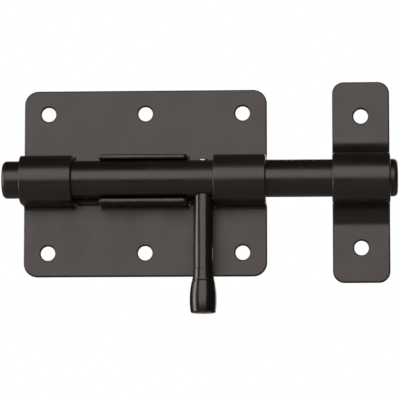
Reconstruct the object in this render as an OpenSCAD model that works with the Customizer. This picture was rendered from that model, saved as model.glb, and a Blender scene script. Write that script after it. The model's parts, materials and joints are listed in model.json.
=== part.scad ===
// Round-bar slide bolt for a door or gate, with a folded sheet plate, a turned handle and a keeper.
// The origin is on the mounting plane, midway between the plate's corner holes.
// +X runs along the bar towards the keeper, -Y points away from the door, +Z is up.

/* [Sheet] */
// Thickness of the steel sheet that the plate and the keeper are folded from
sheet_t = 2; // [1.5:0.1:2.5]
// Inside radius of the folds at the foot of the plate's loops and lips
fold_r = 1.5; // [1:0.1:2]

/* [Latch plate] */
// Length of the plate along the bar
plate_w = 105; // [100:1:120]
// Height of the plate
plate_h = 81; // [76:1:100]
// Radius of the plate's corners
plate_corner_r = 6; // [3:0.5:8]
// Distance between neighbouring columns of screw holes
plate_hole_dx = 42; // [38:0.5:44]
// Distance between the upper and lower row of screw holes
plate_hole_dz = 60.5; // [56:0.5:62]
// Diameter of every screw hole
screw_hole_d = 6.2; // [5:0.1:7]
// Width of each loop that carries the bar
loop_w = 22.4; // [20:0.1:24]
// Length of the two raised lips between the loops
lip_w = 38; // [34:1:40]
// Height of the window that lies behind the bar, between the loops
window_h = 17.8; // [17:0.1:20]
// Thickness of the strip that closes this window, level with the plate's back
strip_t = 1; // [0.8:0.1:1.5]
// Height of the lips above the mounting plane
lip_h = 18.8; // [17:0.1:20]
// Radius of the lips' front corners
lip_corner_r = 2; // [1:0.5:3]

/* [Bar] */
// Diameter of the round bar
bar_d = 16; // [15:0.1:16]
// Height of the bar's axis above the mounting plane
bar_axis = 15.4; // [15:0.1:16]
// Where the bar's free end lies to the left of the origin
bar_left = 60; // [58:1:70]
// Where the bar's locking end lies to the right of the origin
bar_right = 108.4; // [106:0.1:120]
// Radius that rounds both ends of the bar
bar_end_r = 2; // [1:0.5:3]
// Gap between the bar and the inside of the plate's loops and lips
bar_gap = 0.4; // [0.3:0.05:0.5]

/* [Handle] */
// Diameter of the handle's stem
stem_d = 8.4; // [8:0.1:9]
// Distance of the handle from the plate's middle
handle_x = 25.75; // [25:0.05:25.8]
// Diameter of the threaded stud that crosses the bar
stud_d = 5; // [4:0.1:5]
// Diameter of the countersink where the stud's hole opens at the top of the bar
stud_sink_d = 6.2; // [5:0.1:7]
// How far the stud's end stays below the top of the bar
stud_recess = 1.2; // [0.5:0.1:2]
// Largest diameter of the knob
knob_d = 11.5; // [10:0.1:12]
// Height of the top of the knob's neck below the bar's axis
knob_top = 38.4; // [38:0.1:41]
// Height where the neck swells into the grip, below the bar's axis
knob_neck_end = 41.7; // [41:0.1:45]
// Diameter of the knob's neck
knob_neck_d = 8.7; // [8.6:0.1:9.2]
// Height of the knob's flat end below the bar's axis
knob_end = 57.3; // [56:0.1:60]
// Radius of the bulge along the knob's side
knob_bulge_r = 35; // [30:1:40]

/* [Keeper] */
// Width of the keeper along the bar
keeper_w = 24.6; // [22:0.2:26]
// Height of the keeper
keeper_h = 87; // [84:0.2:90]
// Distance from the plate's middle to the keeper's middle
keeper_x = 92.9; // [90:0.1:94]
// Distance between the keeper's two screw holes
keeper_hole_dz = 57; // [54:0.5:60]
// Radius of the keeper's corners
keeper_corner_r = 5; // [3:0.5:6]
// Gap between the bar and the inside of the keeper's loop
keeper_gap = 0.7; // [0.5:0.05:0.8]
// Radius of the wide folds at the foot of the keeper's loop
keeper_fold_r = 8.8; // [7:0.1:9.5]

/* [Hidden] */
$fn = 96;
black = [0.16, 0.15, 0.14];
steel = [0.62, 0.62, 0.60];
bar_r = bar_d / 2;
plate_in = bar_r + bar_gap;
keeper_in = bar_r + keeper_gap;
notch_w = plate_w / 2 - loop_w - lip_w / 2;
// Running clearances: strip in its window, stud in its hole, spigot in the knob, stem around the bar
strip_gap = 0.03;
thread_gap = 0.05;
stem_gap = 0.02;
saddle_gap = 0.06;
sink_depth = 1;
stud_end_d = 4.2;
stud_end_h = 0.55;
stud_chamfer = 0.35;
spigot_d = 5;
spigot_l = 10;
knob_edge_r = 0.8;
knob_foot_d = 10.4;
knob_widest = 5.8;

// Turns a flat section drawn as (Y, Z) into a bar of length w along X
module along_x(w) {
    rotate([90, 0, 90]) translate([0, 0, -w / 2]) linear_extrude(w) children();
}

// Rectangle in a (Y, Z) section, from depth front to depth back and as far below the axis as above it
module band(front, back, half_h) {
    translate([front, -half_h]) square([back - front, 2 * half_h]);
}

// An arch's outline in section: round crown, straight sides, and feet that spread in an arc of radius r
module arch_outline(half_w, foot, bend_y, r, back) {
    translate([-bar_axis, 0]) circle(half_w);
    band(-bar_axis, back, half_w);
    difference() {
        band(bend_y, back, foot);
        for (side = [-1, 1])
            translate([bend_y, side * foot]) circle(r);
    }
}

// Section of a sheet that runs flat from one end to the other but for a folded arch over the bar
module folded_section(inner, fold, half_h) {
    outer = inner + sheet_t;
    foot = outer + fold;
    bend_y = -fold - sheet_t;
    difference() {
        union() {
            band(-sheet_t, 0, half_h);
            arch_outline(outer, foot, bend_y, fold, 0);
        }
        arch_outline(inner, foot, bend_y, -bend_y, sheet_t);
    }
}

// What is cut off to round the four corners of a w by h sheet
module corner_waste(w, h, r) {
    for (side = [-1, 1], end = [-1, 1])
        translate([side * w / 2, sheet_t, end * h / 2]) rotate([90, 0, 0]) difference() {
            cube([2 * r, 2 * r, 6 * sheet_t], center = true);
            translate([-side * r, -end * r, 0]) cylinder(r = r, h = 8 * sheet_t, center = true);
        }
}

// Tool that cuts a screw hole through the sheet
module screw_hole(x, z) {
    translate([x, sheet_t, z]) rotate([90, 0, 0]) cylinder(d = screw_hole_d, h = 3 * sheet_t);
}

// What is cut off to round the front corners of both lips
module lip_corner_waste() {
    for (side = [-1, 1])
        translate([side * lip_w / 2, -lip_h, 0]) difference() {
            cube([2 * lip_corner_r, 2 * lip_corner_r, plate_h], center = true);
            translate([-side * lip_corner_r, lip_corner_r, 0])
                cylinder(r = lip_corner_r, h = plate_h + sheet_t, center = true);
        }
}

module latch_plate() {
    color(black) difference() {
        union() {
            for (side = [-1, 1])
                translate([side * (plate_w - loop_w) / 2, 0, 0])
                    along_x(loop_w) folded_section(plate_in, fold_r, plate_h / 2);
            for (side = [-1, 1])
                translate([side * (lip_w + notch_w) / 2, 0, 0]) along_x(notch_w) difference() {
                    band(-sheet_t, 0, plate_h / 2);
                    band(-2 * sheet_t, sheet_t, window_h / 2);
                }
            along_x(lip_w) difference() {
                folded_section(plate_in, fold_r, plate_h / 2);
                band(-2 * bar_axis, -lip_h, plate_h);
            }
        }
        for (column = [-1:1], row = [-1, 1])
            screw_hole(column * plate_hole_dx, row * plate_hole_dz / 2);
        corner_waste(plate_w, plate_h, plate_corner_r);
        lip_corner_waste();
    }
}

// Thin strip that closes the window behind the bar, with its ends reaching under the loops
module backing_strip() {
    color(black) along_x(plate_w - loop_w) band(-strip_t, 0, window_h / 2 - strip_gap);
}

module keeper() {
    color(black) translate([keeper_x, 0, 0]) difference() {
        along_x(keeper_w) folded_section(keeper_in, keeper_fold_r, keeper_h / 2);
        for (row = [-1, 1])
            screw_hole(0, row * keeper_hole_dz / 2);
        corner_waste(keeper_w, keeper_h, keeper_corner_r);
    }
}

// Half section of the bar, with rounded ends
module bar_section() {
    length = bar_left + bar_right;
    square([bar_r - bar_end_r, length]);
    translate([0, bar_end_r]) square([bar_r, length - 2 * bar_end_r]);
    for (end = [bar_end_r, length - bar_end_r])
        translate([bar_r - bar_end_r, end]) circle(bar_end_r);
}

module bolt_bar() {
    color(black) translate([0, -bar_axis, 0]) difference() {
        translate([-bar_left, 0, 0]) rotate([0, 90, 0]) rotate_extrude() bar_section();
        translate([handle_x, 0, -bar_d]) cylinder(d = stud_d + 2 * thread_gap, h = 2 * bar_d);
        translate([handle_x, 0, bar_r - sink_depth])
            cylinder(d1 = stud_d, d2 = stud_sink_d + sink_depth, h = 2 * sink_depth);
    }
}

// The stud is flush with the underside of the bar and stops short of its top
module handle_stud() {
    color(steel) translate([handle_x, -bar_axis, 0]) intersection() {
        translate([0, 0, -bar_r]) cylinder(d = stud_d, h = bar_d - stud_recess);
        rotate([0, 90, 0]) cylinder(r = bar_r - thread_gap, h = bar_d, center = true);
    }
}

// The stud's chamfered end, which stands proud of the top of the bar
module stud_end() {
    color(steel) translate([handle_x, -bar_axis, 0]) difference() {
        union() {
            cylinder(d = stud_end_d, h = bar_r + stud_end_h - stud_chamfer);
            translate([0, 0, bar_r + stud_end_h - stud_chamfer])
                cylinder(d1 = stud_end_d, d2 = stud_end_d - 2 * stud_chamfer, h = stud_chamfer);
        }
        rotate([0, 90, 0]) cylinder(r = bar_r + saddle_gap, h = bar_d, center = true);
    }
}

// The stem's top is hollowed to sit around the bar, and a thinner spigot at its foot holds the knob
module handle_stem() {
    color(black) translate([handle_x, -bar_axis, 0]) difference() {
        union() {
            translate([0, 0, stem_gap - knob_top]) cylinder(d = stem_d, h = knob_top);
            translate([0, 0, -knob_top - spigot_l]) cylinder(d = spigot_d, h = knob_top + spigot_l);
        }
        rotate([0, 90, 0]) cylinder(r = bar_r + saddle_gap, h = bar_d, center = true);
    }
}

// Half section of the knob: a straight neck that swells into a bulged grip
module knob_section() {
    translate([0, -knob_neck_end]) square([knob_neck_d / 2, knob_neck_end - knob_top]);
    intersection() {
        translate([knob_d / 2 - knob_bulge_r, knob_widest - knob_end]) circle(knob_bulge_r, $fn = 4 * $fn);
        union() {
            translate([0, knob_edge_r - knob_end])
                square([knob_d / 2, knob_end - knob_neck_end - knob_edge_r]);
            translate([0, -knob_end]) square([knob_foot_d / 2 - knob_edge_r, knob_edge_r]);
            translate([knob_foot_d / 2 - knob_edge_r, knob_edge_r - knob_end]) circle(knob_edge_r);
        }
    }
}

module handle_knob() {
    color(black) translate([handle_x, -bar_axis, 0]) difference() {
        rotate_extrude() knob_section();
        translate([0, 0, -knob_top - spigot_l - stem_gap])
            cylinder(d = spigot_d + 2 * stem_gap, h = spigot_l + knob_top);
    }
}

latch_plate();
backing_strip();
keeper();
bolt_bar();
handle_stud();
stud_end();
handle_stem();
handle_knob();
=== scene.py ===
import json
import math

import bmesh
import bpy
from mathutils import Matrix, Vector
from mathutils.geometry import delaunay_2d_cdt


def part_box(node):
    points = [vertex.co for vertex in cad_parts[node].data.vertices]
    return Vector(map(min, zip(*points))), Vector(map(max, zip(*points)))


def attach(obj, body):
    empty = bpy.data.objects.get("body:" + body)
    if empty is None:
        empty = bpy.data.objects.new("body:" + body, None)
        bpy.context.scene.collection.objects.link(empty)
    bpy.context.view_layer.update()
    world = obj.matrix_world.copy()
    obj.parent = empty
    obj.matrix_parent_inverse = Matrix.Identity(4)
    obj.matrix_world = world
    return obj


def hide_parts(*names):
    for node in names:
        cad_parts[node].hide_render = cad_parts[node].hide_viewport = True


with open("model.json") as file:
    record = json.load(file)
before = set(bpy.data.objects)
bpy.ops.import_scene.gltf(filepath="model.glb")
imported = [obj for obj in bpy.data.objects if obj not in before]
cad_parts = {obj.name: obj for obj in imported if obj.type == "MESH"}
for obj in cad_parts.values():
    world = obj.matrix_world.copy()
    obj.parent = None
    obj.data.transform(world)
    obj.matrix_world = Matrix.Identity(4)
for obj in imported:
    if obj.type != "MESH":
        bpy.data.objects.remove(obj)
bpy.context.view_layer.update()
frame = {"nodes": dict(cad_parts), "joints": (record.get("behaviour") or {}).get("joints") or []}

# Round-bar slide bolt: a folded plate with two loops and two lips, a bar, a drop handle and a keeper.
# +X runs along the bar, the front faces -Y, +Z is up. Lengths in the dictionaries are in millimetres.
mm = 0.001
turnJoint = next(j for j in frame["joints"] if j["name"] == "handle_turn")
handleX, axisY, axisZ = [v / mm for v in turnJoint["pos_m"]]
barRadius = (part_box("bolt_bar")[1].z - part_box("bolt_bar")[0].z) / mm / 2


# Camera, lights and floor
shot = {"target": (24.35, -15.4, -9.1), "distance": 1144.7, "azimuth": -3.133, "elevation": -7.117,
        "roll": 0.03, "lens": 242.2, "sensor": 36}


def aimAt(thing, target):
    thing.rotation_euler = (Vector(target) - thing.location).to_track_quat("-Z", "Y").to_euler()


def makeCamera(spec):
    data = bpy.data.cameras.new("camera")
    data.lens, data.sensor_width = spec["lens"], spec["sensor"]
    data.clip_start, data.clip_end = 0.05, 20
    camera = bpy.data.objects.new("camera", data)
    bpy.context.scene.collection.objects.link(camera)
    azimuth, elevation = math.radians(spec["azimuth"]), math.radians(spec["elevation"])
    back = Vector((-math.sin(azimuth) * math.cos(elevation), -math.cos(azimuth) * math.cos(elevation),
                   math.sin(elevation)))
    target = Vector(spec["target"]) * mm
    camera.location = target + back * spec["distance"] * mm
    aimAt(camera, target)
    camera.rotation_euler.rotate_axis("Z", math.radians(spec["roll"]))
    bpy.context.scene.camera = camera


lights = {
    "frontSoftbox": {"at": (-0.12, -1.66, 0.60), "size": (2.20, 1.68), "watts": 29,
                     "colour": (1.0, 0.905, 0.85)},
    "rearSoftbox": {"at": (0.55, 1.70, 0.45), "size": (2.20, 1.30), "watts": 15,
                    "colour": (1.0, 0.96, 0.93)},
    "leftStrip": {"at": (-1.56, -0.33, 0.10), "size": (0.80, 1.50), "watts": 20,
                  "colour": (1.0, 0.93, 0.90)},
}
lightsAim = (0.02, -0.01, 0)  # metres, near the middle of the plate


def makeLights(specs):
    for name, spec in specs.items():
        data = bpy.data.lights.new(name, "AREA")
        data.shape = "RECTANGLE"
        data.size, data.size_y = spec["size"]
        data.energy, data.color = spec["watts"], spec["colour"]
        light = bpy.data.objects.new(name, data)
        bpy.context.scene.collection.objects.link(light)
        light.location = spec["at"]
        light.visible_camera = False
        aimAt(light, lightsAim)


surroundings = {"seen": (1, 1, 1, 1), "seenStrength": 1.0, "lit": (1, 0.985, 0.97, 1), "litStrength": 0.035,
                "floorHalf": 1.2, "floorHeight": -0.55, "paper": (0.42, 0.41, 0.40, 1), "paperRough": 0.9,
                "paperSeen": (0.88, 0.88, 0.87, 1)}  # floor sizes in metres


def makeSurroundings(spec):
    world = bpy.data.worlds.new("studio")
    bpy.context.scene.world = world
    world.use_nodes = True
    nodes, links = world.node_tree.nodes, world.node_tree.links
    nodes.clear()
    output = nodes.new("ShaderNodeOutputWorld")
    mix = nodes.new("ShaderNodeMixShader")
    rays = nodes.new("ShaderNodeLightPath")
    seen, lit = nodes.new("ShaderNodeBackground"), nodes.new("ShaderNodeBackground")
    seen.inputs["Color"].default_value = spec["seen"]
    seen.inputs["Strength"].default_value = spec["seenStrength"]
    lit.inputs["Color"].default_value = spec["lit"]
    lit.inputs["Strength"].default_value = spec["litStrength"]
    links.new(rays.outputs["Is Camera Ray"], mix.inputs["Fac"])
    links.new(lit.outputs[0], mix.inputs[1])
    links.new(seen.outputs[0], mix.inputs[2])
    links.new(mix.outputs[0], output.inputs["Surface"])

    bm = bmesh.new()
    bmesh.ops.create_grid(bm, x_segments=1, y_segments=1, size=spec["floorHalf"])
    mesh = bpy.data.meshes.new("floor")
    bm.to_mesh(mesh)
    floor = bpy.data.objects.new("floor", mesh)
    floor.location = (0, 0, spec["floorHeight"])
    bpy.context.scene.collection.objects.link(floor)
    paper = bpy.data.materials.new("palePaper")
    paper.use_nodes = True
    nodes, links = paper.node_tree.nodes, paper.node_tree.links
    shader = nodes["Principled BSDF"]
    shader.inputs["Base Color"].default_value = spec["paper"]
    shader.inputs["Roughness"].default_value = spec["paperRough"]
    # Seen straight on, the paper is evenly pale; for light that bounces off it, it stays plain paper
    pale, blend, rays = (nodes.new(kind) for kind in ("ShaderNodeEmission", "ShaderNodeMixShader",
                                                      "ShaderNodeLightPath"))
    pale.inputs["Color"].default_value = spec["paperSeen"]
    links.new(rays.outputs["Is Camera Ray"], blend.inputs["Fac"])
    links.new(shader.outputs[0], blend.inputs[1])
    links.new(pale.outputs[0], blend.inputs[2])
    links.new(blend.outputs[0], nodes["Material Output"].inputs["Surface"])
    mesh.materials.append(paper)


bpy.context.scene.view_settings.view_transform = "Standard"
makeCamera(shot)
makeLights(lights)
makeSurroundings(surroundings)
print("camera, lights and floor ready")


# Shader groups that the finishes share
def newGroup(name, inputs, outputs):
    group = bpy.data.node_groups.new(name, "ShaderNodeTree")
    for label, kind, value in inputs:
        socket = group.interface.new_socket(name=label, in_out="INPUT", socket_type=kind)
        if value is not None:
            socket.default_value = value
    for label, kind in outputs:
        group.interface.new_socket(name=label, in_out="OUTPUT", socket_type=kind)
    return group, group.nodes.new("NodeGroupInput"), group.nodes.new("NodeGroupOutput")


def addMath(tree, operation, first, second=None, clamp=False):
    node = tree.nodes.new("ShaderNodeMath")
    node.operation, node.use_clamp = operation, clamp
    for socket, value in zip(node.inputs, (first, second)):
        if isinstance(value, (int, float)):
            socket.default_value = value
        elif value is not None:
            tree.links.new(value, socket)
    return node.outputs[0]


def addNoise(tree, vector, scale, detail, roughness=0.5):
    node = tree.nodes.new("ShaderNodeTexNoise")
    tree.links.new(vector, node.inputs["Vector"])
    for label, value in (("Scale", scale), ("Detail", detail), ("Roughness", roughness)):
        if isinstance(value, (int, float)):
            node.inputs[label].default_value = value
        else:
            tree.links.new(value, node.inputs[label])
    return node.outputs["Fac"]


def addRange(tree, value, low, high, toLow=0.0, toHigh=1.0):
    node = tree.nodes.new("ShaderNodeMapRange")
    node.interpolation_type = "SMOOTHSTEP"
    tree.links.new(value, node.inputs["Value"])
    for label, number in (("From Min", low), ("From Max", high), ("To Min", toLow), ("To Max", toHigh)):
        node.inputs[label].default_value = number
    return node.outputs["Result"]


def makeCoatGroup():
    # Stoved coat: fine orange peel, slow cloudiness of colour and gloss
    group, start, end = newGroup(
        "Stoved Coat",
        [("Position", "NodeSocketVector", None), ("Peel Scale", "NodeSocketFloat", 900.0),
         ("Cloud Scale", "NodeSocketFloat", 60.0), ("Speck Scale", "NodeSocketFloat", 2600.0)],
        [("Peel", "NodeSocketFloat"), ("Cloud", "NodeSocketFloat"), ("Specks", "NodeSocketFloat")])
    place = start.outputs["Position"]
    coarse = addNoise(group, place, start.outputs["Peel Scale"], 2.0, 0.45)
    fine = addNoise(group, place, start.outputs["Speck Scale"], 1.0)
    cloud = addNoise(group, place, start.outputs["Cloud Scale"], 3.0, 0.6)
    peel = addMath(group, "ADD", addMath(group, "MULTIPLY", coarse, 0.8),
                   addMath(group, "MULTIPLY", fine, 0.2))
    group.links.new(peel, end.inputs["Peel"])
    group.links.new(addRange(group, cloud, 0.3, 0.7), end.inputs["Cloud"])
    group.links.new(addRange(group, fine, 0.72, 0.8), end.inputs["Specks"])
    return group


def makeRubGroup():
    # Fine lines that sliding leaves along one direction; Stretch squeezes the pattern across it
    group, start, end = newGroup(
        "Rub Lines",
        [("Position", "NodeSocketVector", None), ("Stretch", "NodeSocketVector", (1.0, 1.0, 1.0)),
         ("Scale", "NodeSocketFloat", 400.0), ("Patch Scale", "NodeSocketFloat", 45.0)],
        [("Lines", "NodeSocketFloat")])
    stretch = group.nodes.new("ShaderNodeVectorMath")
    stretch.operation = "MULTIPLY"
    group.links.new(start.outputs["Position"], stretch.inputs[0])
    group.links.new(start.outputs["Stretch"], stretch.inputs[1])
    lines = addNoise(group, stretch.outputs[0], start.outputs["Scale"], 4.0, 0.7)
    patches = addNoise(group, start.outputs["Position"], start.outputs["Patch Scale"], 2.0)
    mask = addMath(group, "MULTIPLY", addRange(group, lines, 0.56, 0.72),
                   addRange(group, patches, 0.42, 0.66))
    group.links.new(mask, end.inputs["Lines"])
    return group


def makeEdgeHighlightGroup():
    # Painted edge highlight: the rounded rims get a lighter, glossier coat that stands in for bright edge
    # lines, partly also thin, rubbed coat; broken up so that the lighter edge is uneven along each edge
    group, start, end = newGroup(
        "Edge Highlight And Rub",
        [("Position", "NodeSocketVector", None), ("Edge", "NodeSocketFloat", 0.0),
         ("Break Scale", "NodeSocketFloat", 220.0)],
        [("Mask", "NodeSocketFloat")])
    breaks = addNoise(group, start.outputs["Position"], start.outputs["Break Scale"], 4.0, 0.65)
    broken = addRange(group, breaks, 0.35, 0.7)
    mask = addMath(group, "MULTIPLY", start.outputs["Edge"], broken, clamp=True)
    group.links.new(mask, end.inputs["Mask"])
    return group


coatGroup, rubGroup, edgeHighlightGroup = makeCoatGroup(), makeRubGroup(), makeEdgeHighlightGroup()


def useGroup(tree, group, values):
    node = tree.nodes.new("ShaderNodeGroup")
    node.node_tree = group
    for label, value in values.items():
        if isinstance(value, bpy.types.NodeSocket):
            tree.links.new(value, node.inputs[label])
        else:
            node.inputs[label].default_value = value
    return node


def mixColour(tree, factor, first, second):
    node = tree.nodes.new("ShaderNodeMix")
    node.data_type = "RGBA"
    tree.links.new(factor, node.inputs["Factor"])
    for socket, value in ((node.inputs["A"], first), (node.inputs["B"], second)):
        if isinstance(value, bpy.types.NodeSocket):
            tree.links.new(value, socket)
        else:
            socket.default_value = (*value, 1)
    return node.outputs["Result"]


def plainShader(name):
    material = bpy.data.materials.new(name)
    material.use_nodes = True
    tree = material.node_tree
    place = tree.nodes.new("ShaderNodeTexCoord").outputs["Object"]
    return material, tree, tree.nodes["Principled BSDF"], place


def linkBump(tree, shader, height, strength, distance):
    bump = tree.nodes.new("ShaderNodeBump")
    bump.inputs["Strength"].default_value, bump.inputs["Distance"].default_value = strength, distance
    tree.links.new(height, bump.inputs["Height"])
    tree.links.new(bump.outputs["Normal"], shader.inputs["Normal"])


# Finishes
# The pale colour named for wear serves the rub lines and dust specks, and also the painted highlight along
# the rounded rims
coats = {
    "coatSheet": {"dark": (0.0080, 0.0060, 0.0048), "light": (0.0112, 0.0086, 0.0070),
                  "scuffAndSheen": (0.050, 0.043, 0.037), "rough": (0.28, 0.34), "edgeRough": 0.24,
                  "peel": 0.12, "rub": (1.0, 1.0, 0.06), "rubAmount": 0.10},
    "coatBar": {"dark": (0.0066, 0.0050, 0.0040), "light": (0.0094, 0.0072, 0.0059),
                "scuffAndSheen": (0.045, 0.039, 0.034), "rough": (0.27, 0.35), "edgeRough": 0.22,
                "peel": 0.10, "rub": (0.03, 1.0, 1.0), "rubAmount": 0.30},
    "coatHandle": {"dark": (0.0064, 0.0049, 0.0040), "light": (0.0090, 0.0070, 0.0058),
                   "scuffAndSheen": (0.045, 0.039, 0.034), "rough": (0.20, 0.25), "edgeRough": 0.17,
                   "peel": 0.07, "rub": (1.0, 1.0, 0.12), "rubAmount": 0.22},
}
# The edge amount sets how strongly the rims are painted lighter as a highlight
coatDetail = {"rubScale": 900.0, "edgeSheenAmount": 0.55, "speckAmount": 0.25, "ior": 1.5, "peelDepth": 0.00012}


def makeCoat(name, spec):
    material, tree, shader, place = plainShader(name)
    coat = useGroup(tree, coatGroup, {"Position": place})
    rub = useGroup(tree, rubGroup, {"Position": place, "Stretch": spec["rub"],
                                   "Scale": coatDetail["rubScale"]})
    # The rim mask drives a painted edge highlight, mixed with the rub lines and dust specks into the pale
    # colour
    edge = tree.nodes.new("ShaderNodeAttribute")
    edge.attribute_name = "edge"
    edgeSheenAndRub = useGroup(tree, edgeHighlightGroup, {"Position": place, "Edge": edge.outputs["Fac"]})
    base = mixColour(tree, coat.outputs["Cloud"], spec["dark"], spec["light"])
    scuffAndEdgeSheen = addMath(tree, "MULTIPLY", rub.outputs["Lines"], spec["rubAmount"])
    edgeSheenAndScuff = addMath(tree, "MULTIPLY", edgeSheenAndRub.outputs["Mask"], coatDetail["edgeSheenAmount"])
    scuffAndEdgeSheen = addMath(tree, "ADD", scuffAndEdgeSheen, edgeSheenAndScuff, clamp=True)
    speck = addMath(tree, "MULTIPLY", coat.outputs["Specks"], coatDetail["speckAmount"])
    base = mixColour(tree, addMath(tree, "MAXIMUM", scuffAndEdgeSheen, speck), base, spec["scuffAndSheen"])
    tree.links.new(base, shader.inputs["Base Color"])
    low, high = spec["rough"]
    rough = addRange(tree, coat.outputs["Cloud"], 0.0, 1.0, low, high)
    drop = addMath(tree, "MULTIPLY", scuffAndEdgeSheen, low - spec["edgeRough"])
    tree.links.new(addMath(tree, "SUBTRACT", rough, drop), shader.inputs["Roughness"])
    shader.inputs["IOR"].default_value = coatDetail["ior"]
    linkBump(tree, shader, coat.outputs["Peel"], spec["peel"], coatDetail["peelDepth"])
    return material


bare = {"bright": (0.60, 0.585, 0.56), "dull": (0.36, 0.345, 0.325), "rough": (0.30, 0.48),
        "ringScale": 900, "ringDistortion": 1.5, "cloudScale": 500.0, "bump": 0.3, "bumpDepth": 0.00005}


def makeBareSteel(spec):
    # Cut thread end: turned rings round the stud's own axis
    material, tree, shader, place = plainShader("bareSteel")
    shift = tree.nodes.new("ShaderNodeVectorMath")
    shift.operation = "SUBTRACT"
    shift.inputs[1].default_value = Vector((handleX, axisY, 0)) * mm
    tree.links.new(place, shift.inputs[0])
    rings = tree.nodes.new("ShaderNodeTexWave")
    rings.wave_type, rings.rings_direction = "RINGS", "Z"
    rings.inputs["Scale"].default_value = spec["ringScale"]
    rings.inputs["Distortion"].default_value = spec["ringDistortion"]
    tree.links.new(shift.outputs[0], rings.inputs["Vector"])
    coat = useGroup(tree, coatGroup, {"Position": place, "Cloud Scale": spec["cloudScale"]})
    colour = mixColour(tree, coat.outputs["Cloud"], spec["bright"], spec["dull"])
    tree.links.new(colour, shader.inputs["Base Color"])
    rough = addRange(tree, coat.outputs["Cloud"], 0.0, 1.0, *spec["rough"])
    tree.links.new(rough, shader.inputs["Roughness"])
    shader.inputs["Metallic"].default_value = 1
    linkBump(tree, shader, rings.outputs["Fac"], spec["bump"], spec["bumpDepth"])
    return material


materials = {name: makeCoat(name, spec) for name, spec in coats.items()}
materials["bareSteel"] = makeBareSteel(bare)
print("materials ready:", ", ".join(materials))


# Folded sheet pieces. A blank is drawn flat, x along the bar and s up the developed sheet. It gets its
# thickness and softened rims, is creased across at close steps, and is folded with exact surface normals.
lipMargin, slitReach, slitMargin = 0.1, 0.2, 0.5  # how near a place counts as on a lip or beside a slit


def arcPoints(centre, radius, startDegrees, endDegrees, steps):
    angles = [math.radians(startDegrees + (endDegrees - startDegrees) * i / steps) for i in range(steps + 1)]
    return [(centre[0] + radius * math.cos(a), centre[1] + radius * math.sin(a)) for a in angles]


def blankOutline(left, right, halfS, radius, steps=12):
    points = []
    for x, side, start in ((right, 1, 0), (left, 1, 90), (left, -1, 180), (right, -1, 270)):
        inward = -1 if x == right else 1
        points += arcPoints((x + inward * radius, side * (halfS - radius)), radius, start, start + 90, steps)
    return points


def foldLengths(spec):
    # Developed length from the middle of the crown to the start of the wall, the fold and the flat
    crown = spec["middle"] * math.pi / 2
    wall = crown + spec["foldCentre"] - axisY
    fold = wall + spec["foldMiddle"] * math.pi / 2
    return crown, wall, fold


def foldedPlace(spec, x, s):
    # Point (y, z), direction of growing s and front normal, for one place on the sheet's middle surface
    crown, wall, fold = foldLengths(spec)
    side, run = (1 if s >= 0 else -1), abs(s)
    isStraight = any(low - lipMargin < x < high + lipMargin for low, high in spec["lips"])
    isGap = any(low < x < high for low, high in spec["gaps"])
    if run >= fold or isGap:
        point, along, front = (-spec["thick"] / 2, spec["foot"] + run - fold), (0, 1), (-1, 0)
    elif run >= wall:
        turn = (run - wall) / spec["foldMiddle"]
        point = (spec["foldCentre"] + spec["foldMiddle"] * math.sin(turn),
                 spec["foot"] - spec["foldMiddle"] * math.cos(turn))
        along, front = (math.cos(turn), math.sin(turn)), (-math.sin(turn), math.cos(turn))
    elif run >= crown or isStraight:
        point, along, front = (spec["foldCentre"] - (wall - run), spec["middle"]), (1, 0), (0, 1)
    else:
        turn = run / spec["middle"]
        point = (axisY - spec["middle"] * math.cos(turn), spec["middle"] * math.sin(turn))
        along, front = (math.sin(turn), math.cos(turn)), (-math.cos(turn), math.sin(turn))
    if side < 0:
        point, along, front = (point[0], -point[1]), (-along[0], along[1]), (front[0], -front[1])
    return point, along, front


def insetLoop(loop, distances):
    # Each corner moves along its own mitre, into the material
    moved = []
    for i, here in enumerate(loop):
        before = (here - loop[i - 1]).normalized()
        after = (loop[(i + 1) % len(loop)] - here).normalized()
        mitre = Vector((-before.y - after.y, before.x + after.x))
        mitre *= 2 / max(mitre.length_squared, 0.5)
        moved.append(here + mitre * distances[i])
    return moved


def isInside(point, loop):
    crossings = 0
    for i, second in enumerate(loop):
        first = loop[i - 1]
        if (first.y > point.y) != (second.y > point.y):
            if point.x < first.x + (point.y - first.y) / (second.y - first.y) * (second.x - first.x):
                crossings += 1
    return crossings % 2 == 1


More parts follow.
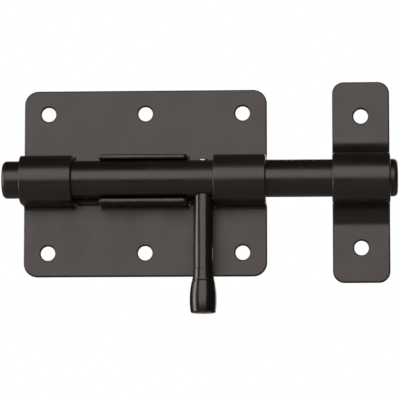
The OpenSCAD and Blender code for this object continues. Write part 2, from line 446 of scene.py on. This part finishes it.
def flatBlank(outline, windows, thick, softenAt, rings=5):
    # Closed flat solid with a quarter-round rim on both faces. Every loop runs with the material on its left.
    bm = bmesh.new()
    normalLayer = bm.verts.layers.float_vector.new("flatNormal")
    # The edge layer marks the rounded rim, where the coat paints a lighter edge highlight
    edgeLayer = bm.verts.layers.float.new("edge")
    loops = [[Vector(p) for p in outline]] + [[Vector(p) for p in reversed(w)] for w in windows]
    softens = [[softenAt(p) for p in loop] for loop in loops]
    inner = [insetLoop(loop, distances) for loop, distances in zip(loops, softens)]
    flatPoints = [p for loop in inner for p in loop]
    edges, first = [], 0
    for loop in inner:
        edges += [(first + i, first + (i + 1) % len(loop)) for i in range(len(loop))]
        first += len(loop)
    points, _, triangles, *_ = delaunay_2d_cdt(flatPoints, edges, [], 0, 1e-6)
    kept = []
    for triangle in triangles:
        centre = sum((points[i] for i in triangle), Vector((0, 0))) / len(triangle)
        if isInside(centre, inner[0]) and not any(isInside(centre, loop) for loop in inner[1:]):
            kept.append(triangle)

    def addVert(p, height, normal, edge):
        vert = bm.verts.new((p.x, p.y, height))
        vert[normalLayer], vert[edgeLayer] = normal, edge
        return vert

    faceVerts = {}
    for side in (1, -1):
        faceVerts[side] = [addVert(p, side * thick / 2, (0, 0, side), 0.0) for p in points]
        for triangle in kept:
            order = triangle if side > 0 else tuple(reversed(triangle))
            bm.faces.new([faceVerts[side][i] for i in order])
    first = 0
    for loop, insetOne, distances in zip(loops, inner, softens):
        count = len(loop)
        columns = []
        for i, rim in enumerate(loop):
            soften = distances[i]
            outward = (rim - insetOne[i]) / soften
            flatOut = outward.normalized()
            column = [faceVerts[1][first + i]]
            for side, angles in ((1, range(1, rings + 1)), (-1, range(rings, 0, -1))):
                for k in angles:
                    turn = math.radians(90 * k / rings)
                    place = insetOne[i] + outward * soften * math.sin(turn)
                    height = side * (thick / 2 - soften + soften * math.cos(turn))
                    normal = (flatOut.x * math.sin(turn), flatOut.y * math.sin(turn), side * math.cos(turn))
                    column.append(addVert(place, height, normal, math.sin(turn)))
            column.append(faceVerts[-1][first + i])
            columns.append(column)
        for i in range(count):
            here, after = columns[i], columns[(i + 1) % count]
            for k in range(len(here) - 1):
                bm.faces.new((here[k], here[k + 1], after[k + 1], after[k]))
        first += count
    bmesh.ops.delete(bm, geom=[v for v in bm.verts if not v.link_faces], context="VERTS")
    return bm


def creaseLines(spec):
    crown, wall, fold = foldLengths(spec)
    lines = [crown * i / spec["crownSteps"] for i in range(spec["crownSteps"] + 1)]
    lines += [wall + (fold - wall) * i / spec["foldSteps"] for i in range(spec["foldSteps"] + 1)]
    return sorted(set(lines + [-v for v in lines]))


def rimSoftness(spec, place):
    # The relief slits beside the folds stay nearly closed, so their edges are almost sharp
    isSlit = any(abs(abs(place.x) - x) < slitReach and abs(place.y) > start for x, start in spec["slits"])
    return spec["slitSoften"] if isSlit else spec["soften"]


def foldSheet(name, spec, outline, windows):
    bm = flatBlank(outline, windows, spec["thick"], lambda place: rimSoftness(spec, place))
    for line in creaseLines(spec):
        bmesh.ops.bisect_plane(bm, geom=bm.verts[:] + bm.edges[:] + bm.faces[:], dist=1e-5,
                               plane_co=(0, line, 0), plane_no=(0, 1, 0))
    normalLayer = bm.verts.layers.float_vector["flatNormal"]
    bm.verts.ensure_lookup_table()
    normals = []
    for vert in bm.verts:
        x, s, height = vert.co
        point, along, front = foldedPlace(spec, x, s)
        flat = vert[normalLayer]
        vert.co = Vector((x, point[0] + front[0] * height, point[1] + front[1] * height)) * mm
        normals.append(Vector((flat.x, along[0] * flat.y + front[0] * flat.z,
                               along[1] * flat.y + front[1] * flat.z)).normalized())
    bm.normal_update()
    mesh = bpy.data.meshes.new(name)
    bm.to_mesh(mesh)
    bm.free()
    mesh.attributes.remove(mesh.attributes["flatNormal"])
    for polygon in mesh.polygons:
        polygon.use_smooth = True
    mesh.normals_split_custom_set_from_vertices(normals)
    return addPiece(name, mesh)


def addPiece(name, mesh):
    piece = bpy.data.objects.new(name, mesh)
    bpy.context.scene.collection.objects.link(piece)
    return piece


def finishPiece(piece, material, slot, body, *nodes):
    piece.data.materials.clear()
    piece.data.materials.append(materials[material])
    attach(piece, body)
    if nodes:
        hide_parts(*nodes)


plateSheet = {"thick": 2.0, "soften": 0.75, "slitSoften": 0.08, "middle": 9.4, "foldMiddle": 2.5,
              "foldCentre": -3.5, "foot": 11.9, "halfX": 52.5, "halfZ": 40.5, "cornerRadius": 6,
              "crownSteps": 20, "foldSteps": 8, "loopInner": 30.1, "lipHalf": 19, "lipReach": 18.8,
              "lipRadius": 2, "notchZ": 8.9, "slit": 0.04, "slitOver": 0.05, "lead": 1,
              "holeX": (-42, 0, 42), "holeZ": 30.25, "holeRadius": 3.1, "holeSteps": 48}
plateSheet["lips"] = [(-plateSheet["lipHalf"], plateSheet["lipHalf"])]
gapOuter = plateSheet["loopInner"] - plateSheet["slit"] / 2
gapInner = plateSheet["lipHalf"] + plateSheet["slit"] / 2
slitStart = foldLengths(plateSheet)[2] - plateSheet["foot"] + plateSheet["notchZ"] - slitMargin
plateSheet["slits"] = [(plateSheet["loopInner"], slitStart), (plateSheet["lipHalf"], slitStart)]
plateSheet["gaps"] = [(-gapOuter, -gapInner), (gapInner, gapOuter)]


def plateWindow(spec):
    # The opening between the loops, with the two lips standing into it and a relief slit beside each fold
    crown, wall, fold = foldLengths(spec)
    slitEnd, notch = fold + spec["slitOver"], fold - (spec["foot"] - spec["notchZ"])
    lipEnd = wall - (spec["lipReach"] + spec["foldCentre"])
    loopX, lipX, slit, radius = spec["loopInner"], spec["lipHalf"], spec["slit"], spec["lipRadius"]
    lead = spec["lead"]  # short straight step at each corner of the notch
    corner = arcPoints((lipX - radius, lipEnd + radius), radius, 0, -90, 8)
    quarter = [(loopX, crown), (loopX, notch - lead), (loopX, slitEnd), (loopX - slit, slitEnd),
               (loopX - slit, notch), (loopX - slit - lead, notch), (lipX + slit + lead, notch),
               (lipX + slit, notch), (lipX + slit, slitEnd), (lipX, slitEnd), (lipX, notch - lead)] + corner
    half = quarter + [(-x, s) for x, s in reversed(quarter)]
    return half + [(-x, -s) for x, s in half]


def makePlate(spec):
    fold = foldLengths(spec)[2]
    halfS = fold + spec["halfZ"] - spec["foot"]
    outline = blankOutline(-spec["halfX"], spec["halfX"], halfS, spec["cornerRadius"])
    holeS = fold + spec["holeZ"] - spec["foot"]
    windows = [plateWindow(spec)]
    for x in spec["holeX"]:
        for s in (-holeS, holeS):
            windows.append(arcPoints((x, s), spec["holeRadius"], 0, 360, spec["holeSteps"])[:-1])
    piece = foldSheet("latchPlate", spec, outline, windows)
    finishPiece(piece, "coatSheet", "black_coat_sheet", "plate_and_keeper", "latch_plate")


keeperSheet = {"thick": 2.0, "soften": 0.75, "middle": 9.7, "foldMiddle": 9.8, "foldCentre": -10.8,
               "foot": 19.5, "centreX": 92.9, "halfX": 12.3, "halfZ": 43.5, "cornerRadius": 5,
               "crownSteps": 20, "foldSteps": 16, "holeZ": 28.5, "holeRadius": 3.1, "holeSteps": 48,
               "slits": [], "lips": [], "gaps": []}


def makeKeeper(spec):
    fold = foldLengths(spec)[2]
    halfS = fold + spec["halfZ"] - spec["foot"]
    left, right = spec["centreX"] - spec["halfX"], spec["centreX"] + spec["halfX"]
    outline = blankOutline(left, right, halfS, spec["cornerRadius"])
    holeS = fold + spec["holeZ"] - spec["foot"]
    holes = [arcPoints((spec["centreX"], s), spec["holeRadius"], 0, 360, spec["holeSteps"])[:-1]
             for s in (-holeS, holeS)]
    piece = foldSheet("keeperStrap", spec, outline, holes)
    finishPiece(piece, "coatSheet", "black_coat_sheet", "plate_and_keeper", "keeper")


makePlate(plateSheet)
makeKeeper(keeperSheet)
print("plate and keeper folded")


# Turned pieces: a profile of (radius, height) corners, some softened, spun round an axis
def softProfile(corners, steps=5):
    # Each corner is (radius, height, soften): soften rounds it with an arc of that radius
    profile = []
    for i, (radius, height, soften) in enumerate(corners):
        here = Vector((radius, height))
        if soften <= 0 or i in (0, len(corners) - 1):
            profile.append((here, 0.0))
            continue
        before = (Vector(corners[i - 1][:2]) - here).normalized()
        after = (Vector(corners[i + 1][:2]) - here).normalized()
        half = before.angle(after) / 2
        reach = soften / math.tan(half)
        centre = here + (before + after).normalized() * soften / math.sin(half)
        start, end = here + before * reach - centre, here + after * reach - centre
        sweep = start.angle_signed(end)
        for k in range(steps + 1):
            turn = -sweep * k / steps
            spun = Vector((start.x * math.cos(turn) - start.y * math.sin(turn),
                           start.x * math.sin(turn) + start.y * math.cos(turn)))
            # The second value marks the rounded arc for the painted edge highlight
            profile.append((centre + spun, math.sin(math.pi * k / steps)))
    return profile


def spinProfile(name, profile, around, toPlace):
    # toPlace turns (radius, height, angle) into a point; ends on the axis close to a single vertex
    bm = bmesh.new()
    edgeLayer = bm.verts.layers.float.new("edge")
    rows = []
    for point, edge in profile:
        onAxis = point.x < 1e-6
        row = []
        for i in range(1 if onAxis else around):
            vert = bm.verts.new(toPlace(point.x, point.y, 2 * math.pi * i / around) * mm)
            vert[edgeLayer] = edge
            row.append(vert)
        rows.append(row)
    for upper, lower in zip(rows, rows[1:]):
        for i in range(around):
            j = (i + 1) % around
            corners = [upper[i % len(upper)], upper[j % len(upper)],
                       lower[j % len(lower)], lower[i % len(lower)]]
            bm.faces.new(list(dict.fromkeys(corners)))
    bmesh.ops.recalc_face_normals(bm, faces=bm.faces[:])
    mesh = bpy.data.meshes.new(name)
    bm.to_mesh(mesh)
    bm.free()
    for polygon in mesh.polygons:
        polygon.use_smooth = True
    return addPiece(name, mesh)


def aboutHandle(radius, height, angle):
    return Vector((handleX + radius * math.cos(angle), axisY + radius * math.sin(angle), height))


def aboutBar(radius, height, angle):
    return Vector((height, axisY + radius * math.cos(angle), axisZ + radius * math.sin(angle)))


knob = {"top": -38.4, "neckEnd": -41.7, "end": -57.3, "neckRadius": 4.35, "radius": 5.75, "widestUp": 5.8,
        "bulge": 35, "bore": 2.52, "boreDepth": 10.02, "line": -43.5, "lineDepth": 0.16, "lineHalf": 0.3,
        "edge": 0.8, "gripSteps": 16}


def makeKnob(spec):
    top, neckEnd, end, line = spec["top"], spec["neckEnd"], spec["end"], spec["line"]
    widest, half = end + spec["widestUp"], spec["lineHalf"]

    def bulgeAt(height):
        return spec["radius"] - spec["bulge"] + math.sqrt(spec["bulge"] ** 2 - (height - widest) ** 2)

    low, gripTop = end + 0.2, line - half
    corners = [(spec["bore"], top - spec["boreDepth"], 0), (spec["bore"], top, 0.2),
               (spec["neckRadius"], top, 0.3), (spec["neckRadius"], neckEnd + 0.05, 0),
               (bulgeAt(neckEnd), neckEnd, 0), (bulgeAt(line + half), line + half, 0.12),
               (bulgeAt(line) - spec["lineDepth"], line, 0.05), (bulgeAt(gripTop), gripTop, 0.12)]
    steps = spec["gripSteps"]
    heights = [gripTop - 0.4 + (low - gripTop + 0.4) * i / steps for i in range(steps)]
    corners += [(bulgeAt(h), h, 0) for h in heights]
    corners += [(bulgeAt(low), end, spec["edge"]), (0, end, 0)]
    profile = [(Vector((0, top - spec["boreDepth"])), 0.0)] + softProfile(corners)
    piece = spinProfile("handleKnob", profile, 96, aboutHandle)
    evenOut = piece.modifiers.new("evenNormals", "WEIGHTED_NORMAL")
    evenOut.weight = 100
    finishPiece(piece, "coatHandle", "black_coat_bar", "handle", "handle_knob")


bar = {"left": -60, "right": 108.4, "endRadius": 2, "holeRadius": 2.55, "sinkRadius": 3.1, "sinkDepth": 1.0,
       "cutClear": 2, "cutFlare": 1.2, "cutSteps": 64, "around": 128, "endSteps": 8, "endSheen": 0.7}


def boreBar(piece, spec):
    # The stud's cross hole, with its upper rim countersunk
    top = axisZ + barRadius
    clear = spec["cutClear"]
    corners = [(0, -top - clear), (spec["holeRadius"], -top - clear),
               (spec["holeRadius"], top - spec["sinkDepth"]), (spec["sinkRadius"], top),
               (spec["sinkRadius"] + spec["cutFlare"], top + clear), (0, top + clear)]
    cutter = spinProfile("cutter", [(Vector(c), 0.0) for c in corners], spec["cutSteps"], aboutHandle)
    cut = piece.modifiers.new("crossHole", "BOOLEAN")
    cut.object, cut.operation, cut.solver = cutter, "DIFFERENCE", "EXACT"
    graph = bpy.context.evaluated_depsgraph_get()
    bored = bpy.data.meshes.new_from_object(piece.evaluated_get(graph))
    piece.modifiers.clear()
    bpy.data.objects.remove(cutter)
    piece.data = bored


def barNormals(mesh, spec):
    # Round faces get the true cylinder's normals, so the cut hole leaves no shading marks round it
    normals, near = [], 0.01
    for polygon in mesh.polygons:
        for index in polygon.vertices:
            spot = mesh.vertices[index].co / mm
            radial = Vector((0, spot.y - axisY, spot.z - axisZ))
            onSide = polygon.normal.dot(radial.normalized()) > 0.8 if radial.length > 1 else False
            fromEnd = min(spot.x - spec["left"], spec["right"] - spot.x)
            if onSide and abs(radial.length - barRadius) < near and fromEnd > spec["endRadius"] - near:
                normals.append(radial.normalized())
            elif fromEnd <= spec["endRadius"] and radial.length > barRadius - spec["endRadius"] - near:
                side = -1 if spot.x < 0 else 1
                outwards = radial - radial.normalized() * (barRadius - spec["endRadius"])
                outwards.x = side * (spec["endRadius"] - fromEnd)
                normals.append(outwards.normalized() if outwards.length > near else Vector((side, 0, 0)))
            else:
                normals.append(polygon.normal.copy())
    mesh.normals_split_custom_set(normals)


def makeBar(spec):
    soften, steps = spec["endRadius"], spec["endSteps"]
    inset = barRadius - soften
    profile = [(Vector((0, spec["left"])), 0.0)]
    for x, start in ((spec["left"] + soften, 180), (spec["right"] - soften, 90)):
        for k in range(steps + 1):
            turn = math.radians(start - 90 * k / steps)
            place = Vector((inset + soften * math.sin(turn), x + soften * math.cos(turn)))
            # The rounded bar ends carry the mask for the painted edge highlight
            profile.append((place, math.sin(math.pi * k / steps) * spec["endSheen"]))
    profile.append((Vector((0, spec["right"])), 0.0))
    piece = spinProfile("slidingBar", profile, spec["around"], aboutBar)
    boreBar(piece, spec)
    barNormals(piece.data, spec)
    finishPiece(piece, "coatBar", "black_coat_bar", "bolt", "bolt_bar")


makeKnob(knob)
makeBar(bar)
print("bar and knob turned")

# The small plain parts keep their frame shapes
for node, material in (("handle_stem", "coatHandle"), ("handle_stud", "bareSteel"), ("stud_end", "bareSteel"),
                       ("backing_strip", "coatSheet")):
    kept = frame["nodes"][node]
    kept.data.materials.clear()
    kept.data.materials.append(materials[material])
print("stem, stud and strip finished")
